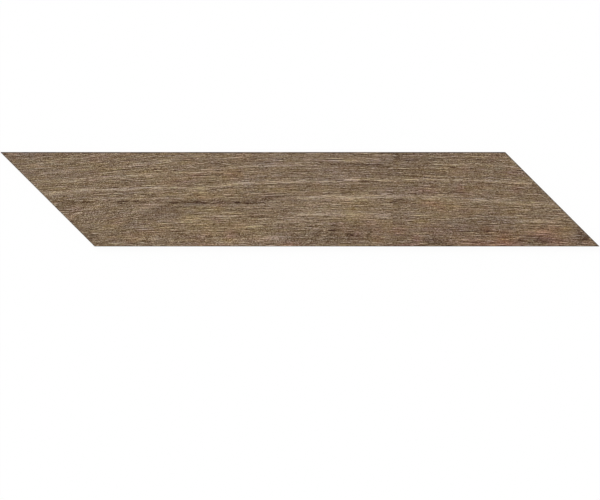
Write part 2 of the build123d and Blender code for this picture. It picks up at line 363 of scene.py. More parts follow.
# %% Warm and grey patches
warm_patches = [
    (30, 3, 14, 3, -0.6), (106, 18, 9, 5, 0.5), (150, 18, 12, 2.5, 0.6), (167, 11, 6, 2, 0.5),
    (80, 23, 20, 4, -0.4), (95, 32, 18, 2, 0.45), (55, 37, 8, 2.5, 0.45), (115, 37, 18, 2, -0.45),
    (168, 27, 14, 2.5, 0.6), (200, 43, 26, 4, 0.8), (100, 48, 14, 6, 0.25), (195, 50.5, 9, 2.5, -0.65),
    (110, 62, 16, 4, -0.4), (160, 64, 14, 5, -0.45), (113, 72, 8, 6, 0.45), (133, 74, 9, 4, -0.4),
    (138, 81, 9, 3, 0.75), (162, 77, 9, 5, 0.5), (190, 70, 9, 6, 0.6), (140, 92.5, 15, 1.5, -0.6),
    (243, 5, 6, 3, 0.6), (228, 22, 14, 4, 0.85), (265, 9, 18, 4, -0.5), (247, 31, 5, 5, -0.55),
    (300, 27, 9, 2.2, -0.6), (325, 28.5, 9, 2, -0.6), (285, 37, 28, 2.5, 0.5), (275, 44, 10, 2.5, -0.55),
    (235, 51, 22, 3, -0.55), (214, 58, 13, 4, 0.75), (240, 61.5, 14, 2, 0.5), (210, 74, 12, 6, 0.85),
    (245, 77, 20, 6, 0.6), (228, 88, 5, 2, 0.7), (287, 68, 8, 3, -0.6), (276, 86, 10, 2, -0.5),
    (312, 84, 20, 6, -0.4), (345, 12, 45, 12, -0.4), (352, 8, 8, 3, 0.5), (360, 52, 10, 8, 0.75),
    (352, 65, 9, 7, 0.75), (382, 63.5, 10, 2, -0.6), (382, 43, 9, 3, -0.5), (395, 75, 8, 3, 0.6),
    (377, 87, 6, 4, 0.65), (415, 4, 24, 4, -0.45), (450, 17, 10, 4, 0.6), (408, 27, 8, 2.5, 0.5),
    (408, 39, 12, 5, -0.6), (478, 36, 22, 2.5, 0.5), (500, 26, 10, 2, -0.55), (520, 33, 8, 5, 0.45),
    (480, 48, 9, 3, -0.6), (435, 51, 18, 4, 0.85), (442, 58, 10, 5, 0.65), (470, 57, 16, 4, 0.6),
    (520, 57, 14, 5, 0.55), (423, 69, 6, 4, 0.65), (500, 66, 14, 7, -0.45), (465, 74, 16, 5, -0.45),
    (548, 79, 26, 5, 0.6), (560, 86, 10, 6, 0.6), (505, 87, 12, 5, 1.0), (582, 83, 6, 6, -0.9),
    (541, 88, 10, 2.5, -0.75), (432, 87, 10, 3, -0.75),
]
print(f"{len(warm_patches)} warm and grey patches")

# %% Shades
shades = [
    (583, 84, 7, 6, -1.0), (541, 88, 11, 3.5, -0.5), (523, 88, 5, 2, -0.4), (437, 88, 10, 5, -0.6),
    (508, 85.5, 7, 2.5, -0.6), (396, 88, 6, 4, -0.6), (482, 80, 9, 4, -0.6), (447, 76, 4, 2, -0.7),
    (485, 69, 14, 4, -0.6), (463, 79, 11, 5, -0.5), (300, 88, 18, 5, -0.5), (280, 80, 12, 4, -0.3),
    (203, 89, 8, 3, -0.7), (180, 83, 4, 2, -0.7), (130, 71, 6, 2.5, -0.8), (75, 71, 5, 2.5, -0.9),
    (88, 84, 5, 5, -0.9), (63, 57, 5, 3.5, -0.6), (175, 55, 12, 4, -0.5), (154, 43.5, 5, 2, -0.7),
    (398, 2.5, 9, 3, -0.6), (415, 7, 24, 2.5, -0.5), (408, 19, 34, 4, -0.4), (385, 21, 14, 3, -0.4),
    (365, 29.5, 5, 1.3, -0.6), (432, 39, 14, 1.6, -0.3), (399, 50, 7, 3, -0.9), (340, 84, 45, 7, -0.5),
    (545, 54, 14, 4, 0.4), (200, 43, 32, 3, 0.4), (215, 66, 30, 8, 0.3), (225, 88, 22, 4, 0.3),
    (52, 42, 8, 3, 0.6), (272, 86, 14, 5, 0.4), (320, 54, 40, 9, 0.25), (440, 55, 45, 10, 0.2),
    (62, 60, 5, 2.5, -0.3), (148, 63.5, 14, 1.5, -0.4), (226, 91, 12, 2.5, 0.5), (222, 73, 6, 2, -0.35),
    (410, 45, 10, 2, -0.5),
]
gritty_patches = [
    (190, 87, 70, 8, 0.8), (85, 68, 25, 10, 0.7), (110, 60, 30, 8, 0.4), (335, 84, 50, 9, 0.6),
    (60, 46, 14, 6, 0.7), (150, 56, 25, 6, 0.5), (440, 86, 30, 8, 0.4), (215, 48, 45, 5, 0.4),
]
print(f"{len(shades)} shades and {len(gritty_patches)} gritty patches")

# %% [markdown]
# Every mark is drawn on the whole grid at once. Its weight is a bell across the mark. Along it, a
# stroke is a spindle that comes to a point at both ends, and a long band fades out over its
# last few millimetres. Real fibres make the edge of a mark ragged, so streaks and checks are
# broken up by the same fine noise. Smears, bands and ovals stay soft.

# %% Draw the marks on the grid
def strokes(marks, half_width):
    """Sum of all strokes: strength times exp(-(offset / half width)^2) times the spindle.

    The spindle is the square root of 1 - (2u - 1)^2, where u goes from 0 to 1 along the stroke.
    """
    field = np.zeros_like(along)
    for start, end, down_start, down_end, strength in marks:
        run = np.hypot(end - start, down_end - down_start)
        step_along = (end - start) / run
        step_down = (down_end - down_start) / run
        ahead = (along - start) * step_along + (down - down_start) * step_down
        offset = (down - down_start) * step_along - (along - start) * step_down
        spindle = np.sqrt(np.clip(1 - (2 * ahead / run - 1) ** 2, 0, None))
        field += strength * np.exp(-((offset / half_width) ** 2)) * spindle
    return field


def bands(marks):
    """Sum of all bands: strength times exp(-(offset / half width)^2) times the fade at the ends."""
    field = np.zeros_like(along)
    for strength, half_width, path in marks:
        path_along, path_down = np.array(path).T
        offset = down - np.interp(along, path_along, path_down)
        inside = np.minimum(along - path_along[0], path_along[-1] - along)
        field += strength * np.exp(-((offset / half_width) ** 2)) * np.clip(inside / BAND_FADE, 0, 1)
    return field


def ovals(spots, spread=1.0):
    """Sum of soft ovals: strength times exp(-r^2).

    The distance r from the middle is counted in reaches, each made spread times as long.
    """
    field = np.zeros_like(along)
    for middle, depth, reach_along, reach_across, strength in spots:
        square = ((along - middle) / reach_along) ** 2 + ((down - depth) / reach_across) ** 2
        field += strength * np.exp(-square / spread**2)
    return field


PALE_HALF_WIDTH = 0.6
CHECK_HALF_WIDTH = 0.6
SMEAR_HALF_WIDTH = 2.5
BAND_FADE = 8.0
RAGGEDNESS = 0.4
RUST_SPREAD = 1.2
WARM_SPREAD = 1.3
WARM_STEP = 0.75
ragged = np.clip(1 + RAGGEDNESS * smooth_noise(along, down, 12, 0.8, seed=2), 0.2, 1.8)
pale = strokes(pale_streaks, PALE_HALF_WIDTH) * ragged
checks = strokes(dark_checks, CHECK_HALF_WIDTH) * ragged
smears = strokes(dark_smears, SMEAR_HALF_WIDTH)
rust = ovals(rust_stains, RUST_SPREAD)
warm = WARM_STEP * ovals(warm_patches, WARM_SPREAD)
grit = np.clip(ovals(gritty_patches), 0, 1)
print(f"marks: pale to {pale.max():.1f}, checks to {checks.max():.1f}, rust to {rust.max():.1f}")

# %% [markdown]
# ## Tone and relief of the face
# The slow part of the figure, longer than a finger's width, is noise on the bent grain with long
# narrow cells. Tone is that noise with the marks on top. Relief follows the tone the way the
# mould of such a tile is made from a scan of wood: dark checks and pores are grooves, and pale
# streaks stand a little proud. The highest fibres just touch the tile's full height.

# %% Slow figure, tone and groove depth
slow_layers = [(26, 1.5, 0.08), (70, 2.2, 0.08), (130, 6.0, 0.06)]
slow_figure = np.zeros_like(along)
for number, (cell_along, cell_across, weight) in enumerate(slow_layers):
    slow_figure += weight * smooth_noise(along, grain_across, cell_along, cell_across, seed=10 + number)
BAND_STEP = 1.3
SHADE_STEP = 1.45
tone = slow_figure + BAND_STEP * bands(long_bands) + SHADE_STEP * ovals(shades) + pale - checks - smears

PORE_DEPTH = 0.10
PORE_CUT = 0.6
FIBRE_DEPTH = 0.05
TONE_DEPTH = 0.03
MEAN_DEPTH = 0.1
DEEPEST = 0.4
pores = np.clip(smooth_noise(along, grain_across, 18, 0.9, seed=20) - PORE_CUT, 0, 2)
fibres = smooth_noise(along, grain_across, 40, 1.3, seed=21)
groove = MEAN_DEPTH + PORE_DEPTH * pores - FIBRE_DEPTH * fibres - TONE_DEPTH * tone
groove = np.clip(groove, 0, DEEPEST)
groove -= groove.min()
print(f"tone {tone.std():.2f} around its mean, grooves to {groove.max():.2f} mm deep")

# %% [markdown]
# ## The rim: bevel and edges
# After firing, the edges are ground square and a small bevel takes the sharpness off. That is a
# profile carried round the outline: each ring of the rim is the outline at one inset and one
# height. Where a groove runs out over the bevel, the ring dips with it, as grinding leaves it.

# %% Rings of the rim, from the face down to the back
def outline_shares(lines_along, lines_across):
    """The grid's outer points, anticlockwise from the front left corner, and how far round each is.

    A side counts as 1, so that the way round runs from 0 to 4.
    """
    one_along = np.ones_like(lines_along[:-1])
    one_across = np.ones_like(lines_across[:-1])
    share_along = np.concatenate(
        [lines_along[:-1], one_across, lines_along[:0:-1], 0 * one_across]
    )
    share_across = np.concatenate(
        [0 * one_along, lines_across[:-1], one_along, lines_across[:0:-1]]
    )
    way = np.concatenate(
        [lines_along[:-1], 1 + lines_across[:-1], 3 - lines_along[:0:-1], 4 - lines_across[:0:-1]]
    )
    return share_along, share_across, way


rim_along, rim_across, rim_way = outline_shares(face_share_along[:, 0], face_share_across[0])
rim_profile = [(0.43 * MM, 0.08 * MM), (0.05 * MM, 0.46 * MM), (0.0, 0.56 * MM)]
face_z = tile_high.z - groove * MM
face_points = np.stack([face_x, face_y, face_z], axis=-1).reshape(-1, 3)
face_number = np.arange(face_x.size).reshape(face_x.shape)
rim_number = face_number[
    np.rint(rim_along * FACE_ALONG).astype(int), np.rint(rim_across * FACE_ACROSS).astype(int)
]
print(f"rim of {rim_number.size} points in {len(rim_profile)} rings")

# %% [markdown]
# ## The back
# The press punch leaves a field of shallow cells with leaning walls, which key the tile to its
# adhesive. On the slanted grid every cell is a rectangle, so the back is a height over that
# grid: zero on the ribs and the border, and rising over the short run of each wall. The grid
# lines are set close together at the walls and left out where the back is flat.

# %% Lines and heights of the back
border_width = 6.0 * MM
rib_width = 2.4 * MM
cell_size = 12.0 * MM
cell_corner = 1.2 * MM
cell_depth = 0.8 * MM
wall_run = cell_depth * tan(radians(15))
back_arris = 0.2 * MM


def cell_lines(room, half_reach):
    """Edges of the cells that share out a room evenly, and grid lines at and near those edges."""
    count = int((room + rib_width) // (cell_size + rib_width))
    size = (room - (count - 1) * rib_width) / count
    starts = np.arange(count) * (size + rib_width) - room / 2
    steps = np.array([0, wall_run, cell_corner, cell_corner + wall_run])
    inside = np.concatenate([steps, [size / 2], size - steps[::-1]])
    lines = np.concatenate([[-half_reach], (starts[:, None] + inside).ravel(), [half_reach]])
    return starts, size, lines


def depth_inside(place, starts, size):
    """How far a place is inside its cell: the distance to the nearer end, negative on a rib."""
    pitch = size + rib_width
    nearest = np.clip(np.rint((place - starts[0] - size / 2) / pitch), 0, len(starts) - 1)
    return size / 2 - np.abs(place - starts[0] - size / 2 - nearest * pitch)


half_square = edge_length / along_per_square / 2
square_starts, square_size, square_lines = cell_lines(
    2 * (half_square - border_width), half_square - back_arris
)
row_starts, row_size, row_lines = cell_lines(
    tile_width - 2 * border_width, tile_width / 2 - back_arris
)
back_along = (square_lines / square_lines[-1] + 1) / 2
back_across = (row_lines / row_lines[-1] + 1) / 2
from_mitre = depth_inside(square_lines, square_starts, square_size)[:, None]
from_side = depth_inside(row_lines, row_starts, row_size)[None, :]
from_corner = (from_mitre + from_side - cell_corner / along_per_square) / np.sqrt(2)
from_wall = np.minimum(np.minimum(from_mitre, from_side), from_corner)
back_z = cell_depth * np.clip(from_wall / wall_run, 0, 1)
print(f"back: {len(row_starts)} rows of {len(square_starts)} cells, {back_z.size} points")

# %% [markdown]
# ## Joining it all into one closed mesh
# Face, rings and back share their outer points, so the mesh closes without loose seams. The
# face has more points round its outline than the back, so the edge between them is a band of
# triangles: going round, each step of either ring makes one triangle with the last point
# reached on the other ring.

# %% Faces of grids, strips and bands
def grid_faces(number):
    """Quads between neighbours of a grid of point numbers, anticlockwise from above."""
    corners = [number[:-1, :-1], number[1:, :-1], number[1:, 1:], number[:-1, 1:]]
    return np.stack(corners, axis=-1).reshape(-1, 4)


def strip_faces(upper, lower):
    """Quads between two rings with the same count."""
    return np.stack([upper, lower, np.roll(lower, -1), np.roll(upper, -1)], axis=-1)


def band_faces(upper, upper_way, lower, lower_way):
    """Triangles between two rings with different counts.

    A step of one ring joins the point of the other ring that is reached after as many steps
    as have their middles before the middle of this one.
    """
    upper_middle = (upper_way + np.append(upper_way[1:], 4)) / 2
    lower_middle = (lower_way + np.append(lower_way[1:], 4)) / 2
    reached_lower = np.searchsorted(lower_middle, upper_middle, side="left") % lower.size
    reached_upper = np.searchsorted(upper_middle, lower_middle, side="right") % upper.size
    from_upper = np.stack([upper, lower[reached_lower], np.roll(upper, -1)], axis=-1)
    from_lower = np.stack([lower, np.roll(lower, -1), upper[reached_upper]], axis=-1)
    return np.concatenate([from_upper, from_lower])


print("helpers for grids, strips and bands are ready")

# %% Number the points and list the faces
points = [face_points]
rings = [rim_number]
count = face_number.size
for inset, drop in rim_profile:
    x, y = on_tile(rim_along, rim_across, inset)
    z = np.minimum(tile_high.z - drop, face_points[rim_number, 2])
    points.append(np.stack([x, y, z], axis=-1))
    rings.append(count + np.arange(rim_number.size))
    count += rim_number.size

back_rim_along, back_rim_across, back_way = outline_shares(back_along, back_across)
x, y = on_tile(back_rim_along, back_rim_across, 0.0)
points.append(np.stack([x, y, np.full_like(x, back_arris)], axis=-1))
foot_ring = count + np.arange(back_way.size)
count += back_way.size

x, y = on_tile(*np.meshgrid(back_along, back_across, indexing="ij"), back_arris)
points.append(np.stack([x, y, back_z], axis=-1).reshape(-1, 3))
back_number = count + np.arange(back_z.size).reshape(back_z.shape)
back_rim = back_number[
    np.searchsorted(back_along, back_rim_along), np.searchsorted(back_across, back_rim_across)
]
count += back_z.size

points = np.concatenate(points)
print(f"{count} points in all")

# %% [markdown]
# The mesh wears three finishes: the printed face, the ground edges and the pressed back. Each
# patch of faces carries its finish number. Only the face is shaded smooth, since the bevel,
# edges and ribs are crisp on the real tile.

# %% Build the mesh
FACE_FINISH, EDGE_FINISH, BACK_FINISH = range(3)
quads = [(grid_faces(face_number), FACE_FINISH)]
for upper, lower in zip(rings[:-1], rings[1:]):
    quads.append((strip_faces(upper, lower), EDGE_FINISH))
quads.append((strip_faces(foot_ring, back_rim), EDGE_FINISH))
quads.append((grid_faces(back_number)[:, ::-1], BACK_FINISH))
band = band_faces(rings[-1], rim_way, foot_ring, back_way)

quad_corners = np.concatenate([faces for faces, finish in quads])
quad_finish = np.concatenate([np.full(len(faces), finish) for faces, finish in quads])
corners = np.concatenate([quad_corners.ravel(), band.ravel()])
sizes = np.concatenate([np.full(len(quad_corners), 4), np.full(len(band), 3)])
finishes = np.concatenate([quad_finish, np.full(len(band), EDGE_FINISH)])

mesh = bpy.data.meshes.new("wood_look_tile")
mesh.vertices.add(count)
mesh.vertices.foreach_set("co", points.astype(np.float32).ravel())
mesh.loops.add(corners.size)
mesh.loops.foreach_set("vertex_index", corners.astype(np.int32))
mesh.polygons.add(sizes.size)
mesh.polygons.foreach_set("loop_start", (np.cumsum(sizes) - sizes).astype(np.int32))
mesh.polygons.foreach_set("material_index", finishes.astype(np.int32))
mesh.polygons.foreach_set("use_smooth", finishes == FACE_FINISH)
mesh.update(calc_edges=True)
mesh.validate()
tile = bpy.data.objects.new("wood_look_tile", mesh)
bpy.context.scene.collection.objects.link(tile)
print(f"{sizes.size} faces, {int((sizes - 2).sum())} triangles")

# %% [markdown]
# ## A flat map of the tile
# A map says where each face of the mesh lies on a flat square picture, so that the finishes can be
# kept as pictures. The face takes three quarters of the square, the back a strip below it and the
# rim, unrolled, the lowest strip. A face of the rim that closes the ring ends at 4, not at 0.

# %% Lay the mesh out flat
FACE_STRIP_LOW, FACE_STRIP_HEIGHT = 0.25, 0.74
BACK_STRIP_LOW, BACK_STRIP_HEIGHT = 0.06, 0.175
SIDE_MARGIN = 0.01
way_round = np.zeros(count)
rim_height = np.zeros(count)
ring_heights = [0.050, 0.046, 0.036, 0.032, 0.009, 0.005]
ring_ways = [rim_way] * len(rings) + [back_way, back_way]
for ring, way, height in zip(rings + [foot_ring, back_rim], ring_ways, ring_heights):
    way_round[ring] = way
    rim_height[ring] = height

face_map = np.zeros((count, 2))
face_rows = FACE_STRIP_LOW + FACE_STRIP_HEIGHT * face_share_across
face_map[face_number] = np.stack([face_share_along, face_rows], axis=-1)
back_rows = BACK_STRIP_LOW + BACK_STRIP_HEIGHT * back_across
back_grid = np.meshgrid(back_along, back_rows, indexing="ij")
face_map[back_number] = np.stack(back_grid, axis=-1)

corner_finish = np.repeat(finishes, sizes)
corner_way = way_round[corners]
starts_late = np.repeat(np.maximum.reduceat(corner_way, np.cumsum(sizes) - sizes) > 3, sizes)
corner_way = np.where(starts_late & (corner_way < 1), corner_way + 4, corner_way)
unrolled = np.stack([corner_way / 4, rim_height[corners]], axis=-1)
flat = np.where((corner_finish == EDGE_FINISH)[:, None], unrolled, face_map[corners])
flat[:, 0] = SIDE_MARGIN + (1 - 2 * SIDE_MARGIN) * flat[:, 0]
mesh.uv_layers.new(name="OFBake").uv.foreach_set("vector", flat.astype(np.float32).ravel())
print(f"map from {flat.min():.3f} to {flat.max():.3f}")

# %% [markdown]
# ## Handing the figure to the material
# The material can't run numpy, but it can read numbers stored on the points. The grain
# attribute holds the bent coordinates in millimetres, with the one across the grain twice, so
# that noise can be cut at a slant and never lines up with its own cells. The stain attribute
# holds tone, rust and warmth, and the surface attribute the depth of the relief and the grit.

# %% Store grain, stains and surface on the points
def store(name, first, second, third):
    """Stores three numbers for each point of the face, and zeros elsewhere, as a vector."""
    values = np.zeros((count, 3), np.float32)
    values[: along.size] = np.stack([first, second, third], axis=-1).reshape(-1, 3)
    layer = mesh.attributes.new(name, "FLOAT_VECTOR", "POINT")
    layer.data.foreach_set("vector", values.ravel())


store("grain", along, grain_across, grain_across)
store("stain", tone, rust, warm)
store("surface", groove, grit, 0 * grit)
print("attributes:", [layer.name for layer in mesh.attributes if not layer.is_internal])

# %% [markdown]
# ## Small helpers for node materials
# Node trees are easier to read as sums than as boxes and wires. These helpers add one node
# each, wire or set its inputs and hand back its output.

# %% Node helpers
def new_material(name):
    """A node material, its tree and its Principled shader."""
    material = bpy.data.materials.new(name)
    material.use_nodes = True
    tree = material.node_tree
    return material, tree, tree.nodes["Principled BSDF"]


def wire(tree, socket, value):
    """Links another node's output to an input, or types a number or colour into it."""
    if isinstance(value, bpy.types.NodeSocket):
        tree.links.new(value, socket)
    else:
        socket.default_value = value


def maths(tree, operation, *values):
    """One Math node on up to three values."""
    made = tree.nodes.new("ShaderNodeMath")
    made.operation = operation
    for socket, value in zip(made.inputs, values):
        wire(tree, socket, value)
    return made.outputs[0]


def vector_maths(tree, operation, *values):
    """One Vector Math node on up to three vectors."""
    made = tree.nodes.new("ShaderNodeVectorMath")
    made.operation = operation
    for socket, value in zip(made.inputs, values):
        wire(tree, socket, value)
    return made.outputs[0]


def noise(tree, place, detail=0.0):
    """Noise around 0.5 that changes over about 1 of the place's units."""
    made = tree.nodes.new("ShaderNodeTexNoise")
    made.inputs["Scale"].default_value = 1.0
    made.inputs["Detail"].default_value = detail
    wire(tree, made.inputs["Vector"], place)
    return made.outputs["Fac"]


def attribute(tree, name):
    """The three numbers of a point attribute, as a vector and one by one."""
    made = tree.nodes.new("ShaderNodeAttribute")
    made.attribute_name = name
    parts = tree.nodes.new("ShaderNodeSeparateXYZ")
    tree.links.new(made.outputs["Vector"], parts.inputs[0])
    return made.outputs["Vector"], list(parts.outputs)


def linear(red, green, blue):
    """A colour from 0 to 255 on screen, as the linear light that shaders count in."""
    share = np.array([red, green, blue]) / 255
    light = np.where(share <= 0.04045, share / 12.92, ((share + 0.055) / 1.055) ** 2.4)
    return (*light.tolist(), 1.0)


def colour_ramp(tree, position, stops):
    """Colours along a line from 0 to 1, each stop being (position, colour)."""
    made = tree.nodes.new("ShaderNodeValToRGB")
    wire(tree, made.inputs[0], position)
    elements = made.color_ramp.elements
    while len(elements) < len(stops):
        elements.new(0.5)
    for element, (place, colour) in zip(elements, stops):
        element.position = place
        element.color = colour
    return made.outputs["Color"]


def bump(tree, height, distance):
    """Fine relief from a height of about 0 to 1, as deep as the distance in metres."""
    made = tree.nodes.new("ShaderNodeBump")
    made.inputs["Strength"].default_value = 1.0
    made.inputs["Distance"].default_value = distance
    wire(tree, made.inputs["Height"], height)
    return made.outputs["Normal"]


print("node helpers are ready")

# %% [markdown]
# ## The printed wood face
# On the real tile a wood picture is printed under a matt glaze. Its fine part is finer than the
# mesh, so it is worked out in the material, as noise on the bent grain. The picture is put
# together from prints that meet at two straight seams, one of them over the rear half only, and
# the fibres of one print don't run on in the next. Here each print reads the noise at another
# place, far enough away that nothing comes twice.

# %% Bent grain of each print
face_material, face_tree, face_shader = new_material("printed_wood_glaze")
grain = attribute(face_tree, "grain")[0]
tone_part, rust_part, warm_part = attribute(face_tree, "stain")[1]
groove_part, grit_part = attribute(face_tree, "surface")[1][:2]

FULL_SEAM = tile_low.x + 393.2 * MM
HALF_SEAM = tile_low.x + 243.2 * MM
PRINTS_APART = 150.0
SLANT_COS = 0.8
SLANT_SIN = 0.6

object_place = face_tree.nodes.new("ShaderNodeTexCoord").outputs["Object"]
object_parts = face_tree.nodes.new("ShaderNodeSeparateXYZ")
face_tree.links.new(object_place, object_parts.inputs[0])
past_full = maths(face_tree, "GREATER_THAN", object_parts.outputs["X"], FULL_SEAM)
past_half = maths(face_tree, "GREATER_THAN", object_parts.outputs["X"], HALF_SEAM)
rear_half = maths(face_tree, "GREATER_THAN", object_parts.outputs["Y"], 0.0)
print_number = maths(face_tree, "MULTIPLY_ADD", past_half, rear_half, past_full)
grain = vector_maths(face_tree, "MULTIPLY_ADD", print_number, (0.0, PRINTS_APART, PRINTS_APART), grain)


def grain_noise(length, width, shift, lower=0.0):
    """Noise in cells of that length and width along the grain, cut at a slant, read lower mm further down."""
    per_mm = (1 / length, SLANT_COS / width, SLANT_SIN / width)
    start = (shift, shift + lower * SLANT_COS / width, shift + lower * SLANT_SIN / width)
    return noise(face_tree, vector_maths(face_tree, "MULTIPLY_ADD", grain, per_mm, start))


print("three prints, read", PRINTS_APART, "mm apart")

# %% [markdown]
# A fibre of brushed wood is a ridge: one flank catches the light and the other lies in shade. So
# a layer of fibres is drawn as noise less the same noise a little lower, which sets a dark line
# beside each pale one. The layers are about as thick as each other, and their fibres are from 3 to
# 30 mm long. A coarser noise makes them strong in one place and faint in the next. Speckle and
# soft blotches go on top, and in a gritty patch grains take the place of fibres. All sums are in
# steps of the wood's contrast, like the tone.

# %% Fine fibres
TWIN_GAP = 0.9
FIBRE_BREAKS = 4.0
fibre_layers = [(3, 0.6, 3.4), (10, 0.5, 4.9), (30, 0.5, 5.0)]
GRIT_CUTS = 0.6
blotch_layers = [(0.7, 0.5, 15.0), (8, 6.0, 0.8)]
grit_layers = [(1.2, 1.0, 11.0)]


def blotches(layers, shift):
    """Sum of weight times (noise - 0.5) over the layers."""
    field = -sum(weight for length, width, weight in layers) / 2
    for number, (length, width, weight) in enumerate(layers):
        layer = grain_noise(length, width, shift + 7.3 * number)
        field = maths(face_tree, "MULTIPLY_ADD", layer, weight, field)
    return field


ridges = 0.0
for number, (length, width, weight) in enumerate(fibre_layers):
    pale_flank = grain_noise(length, width, 11.3 * number)
    dark_flank = grain_noise(length, width, 11.3 * number, TWIN_GAP)
    ridge = maths(face_tree, "SUBTRACT", pale_flank, dark_flank)
    ridges = maths(face_tree, "MULTIPLY_ADD", ridge, weight, ridges)
strong = maths(face_tree, "MULTIPLY_ADD", grain_noise(9.0, 1.6, 91.4), FIBRE_BREAKS, 1 - FIBRE_BREAKS / 2)
strong = maths(face_tree, "MULTIPLY", strong, maths(face_tree, "MULTIPLY_ADD", grit_part, -GRIT_CUTS, 1.0))
fine = maths(face_tree, "MULTIPLY_ADD", ridges, strong, blotches(blotch_layers, 50.7))
fine = maths(face_tree, "MULTIPLY_ADD", grit_part, blotches(grit_layers, 33.1), fine)
print(f"{len(fibre_layers)} layers of fibres and {len(blotch_layers)} of blotches")

# %% [markdown]
# The colour is looked up in a row of browns by the sum of tone and fine fibres. The tone is
# speckled first, so that no mark is a flat stroke of paint. Two tints then pull the brown towards
# honey or grey and towards red. The glaze mirrors a little of the white room, so the browns are
# written as they are seen, and what the glaze adds is taken off.

# %% Colour of the print
LOWEST_TONE = -4.8
HIGHEST_TONE = 5.2
PRINT_STEP = -0.25
MARK_SPECKLE = 1.5
GLAZE_SHEEN = 0.014


def under_glaze(red, green, blue):
    """The print's colour for a colour as it is seen, less what the glaze adds of the white room."""
    return tuple(max(light - GLAZE_SHEEN, 0.004) for light in linear(red, green, blue)[:3]) + (1.0,)


speckled = maths(face_tree, "MULTIPLY_ADD", grain_noise(8.0, 1.0, 64.9), MARK_SPECKLE, 1 - MARK_SPECKLE / 2)
total = maths(face_tree, "MULTIPLY_ADD", tone_part, speckled, fine)
total = maths(face_tree, "MULTIPLY_ADD", past_full, PRINT_STEP, total)
share = maths(face_tree, "SUBTRACT", total, LOWEST_TONE)
share = maths(face_tree, "DIVIDE", share, HIGHEST_TONE - LOWEST_TONE)
wood_stops = [
    (0.0, under_glaze(55, 40, 25)), (0.2, under_glaze(81, 63, 46)), (0.35, under_glaze(103, 85, 67)),
    (0.5, under_glaze(124, 106, 86)), (0.65, under_glaze(146, 128, 108)),
    (0.8, under_glaze(168, 150, 129)), (1.0, under_glaze(197, 180, 158)),
]
wood = colour_ramp(face_tree, share, wood_stops)

warmth = blotches([(3, 1.0, 1.2), (25, 1.5, 1.3), (12, 5.0, 0.8)], 3.7)
warmth = maths(face_tree, "ADD", warmth, warm_part)
redness = blotches([(3, 1.0, 0.7), (18, 1.3, 0.8), (8, 6.0, 0.4)], 78.1)
redness = maths(face_tree, "ADD", redness, rust_part)
WARM_AXIS = (0.066, 0.036, -0.177)
RUST_AXIS = (0.063, -0.089, 0.021)
warm_tint = vector_maths(face_tree, "MULTIPLY_ADD", warmth, WARM_AXIS, (1.0, 0.988, 0.955))
tint = vector_maths(face_tree, "MULTIPLY_ADD", redness, RUST_AXIS, warm_tint)
wood = vector_maths(face_tree, "MULTIPLY", wood, tint)
wire(face_tree, face_shader.inputs["Base Color"], wood)
print(f"colour from {len(wood_stops)} stops")

# %% [markdown]
# The glaze is matt. It is a little duller down in the grooves, where it lies thin, and its finest
# relief follows the printed fibres. That relief is finer than the mesh, so it is bump.

# %% Gloss and fine relief of the glaze
roughness = maths(face_tree, "MULTIPLY_ADD", groove_part, 0.4, 0.5)
roughness = maths(face_tree, "MULTIPLY_ADD", fine, -0.02, roughness)
wire(face_tree, face_shader.inputs["Roughness"], roughness)
face_shader.inputs["Specular IOR Level"].default_value = 0.15
wire(face_tree, face_shader.inputs["Normal"], bump(face_tree, fine, 0.008 * MM))
print("matt glaze on the face")

# %% [markdown]
# ## The ground edges and the pressed back
# Below the glaze is the fired body, a dull grey-brown porcelain with darker and paler grains.
# The edges show fine lines left by the grinding wheels, which run level round the tile. The
# top of the edge and the bevel are dark brown: partly the print running over them, and partly
# painted shade that keeps the bevel dark even where the lamp lights it. The back has the pale
# powder that keeps a tile from sticking in the kiln, rubbed onto its ribs.

# %% Porcelain body
GRAINS_PER_METRE = (900, 900, 900)
CLOUDS_PER_METRE = (25, 25, 25)
LINES_PER_METRE = (12, 12, 2200)
POWDER_PER_METRE = (60, 60, 60)


def body_material(name, scratch):
    """Fired body with grains; scratch is how deep the level grinding lines are, in metres."""
    material, tree, shader = new_material(name)
    place = tree.nodes.new("ShaderNodeTexCoord").outputs["Object"]
    grains = noise(tree, vector_maths(tree, "MULTIPLY", place, GRAINS_PER_METRE), detail=3)
    clouds = noise(tree, vector_maths(tree, "MULTIPLY", place, CLOUDS_PER_METRE), detail=2)
    lines = noise(tree, vector_maths(tree, "MULTIPLY", place, LINES_PER_METRE), detail=2)
    mixed = maths(tree, "MULTIPLY_ADD", clouds, 0.5, maths(tree, "MULTIPLY", grains, 0.6))
    mixed = maths(tree, "MULTIPLY_ADD", maths(tree, "SUBTRACT", lines, 0.5), scratch / (0.1 * MM), mixed)
    stops = [(0.3, linear(112, 98, 84)), (0.55, linear(143, 128, 112)), (0.8, linear(168, 155, 139))]
    colour = colour_ramp(tree, mixed, stops)
    wire(tree, shader.inputs["Roughness"], maths(tree, "MULTIPLY_ADD", grains, 0.3, 0.55))
    height = maths(tree, "MULTIPLY_ADD", lines, scratch / (0.05 * MM), grains)
    wire(tree, shader.inputs["Normal"], bump(tree, height, 0.05 * MM))
    return material, tree, shader, place, colour


def mix_colour(tree, share, first, second):
    """A colour between two, by a share from 0 to 1."""
    made = tree.nodes.new("ShaderNodeMix")
    made.data_type = "RGBA"
    wire(tree, made.inputs["Factor"], share)
    wire(tree, made.inputs[6], first)
    wire(tree, made.inputs[7], second)
    return made.outputs[2]


def height_share(tree, place, low, high):
    """0 below the low height and 1 above the high one."""
    parts = tree.nodes.new("ShaderNodeSeparateXYZ")
    tree.links.new(place, parts.inputs[0])
    made = tree.nodes.new("ShaderNodeMapRange")
    made.interpolation_type = "SMOOTHSTEP"
    wire(tree, made.inputs["Value"], parts.outputs["Z"])
    made.inputs["From Min"].default_value = low
    made.inputs["From Max"].default_value = high
    return made.outputs["Result"]


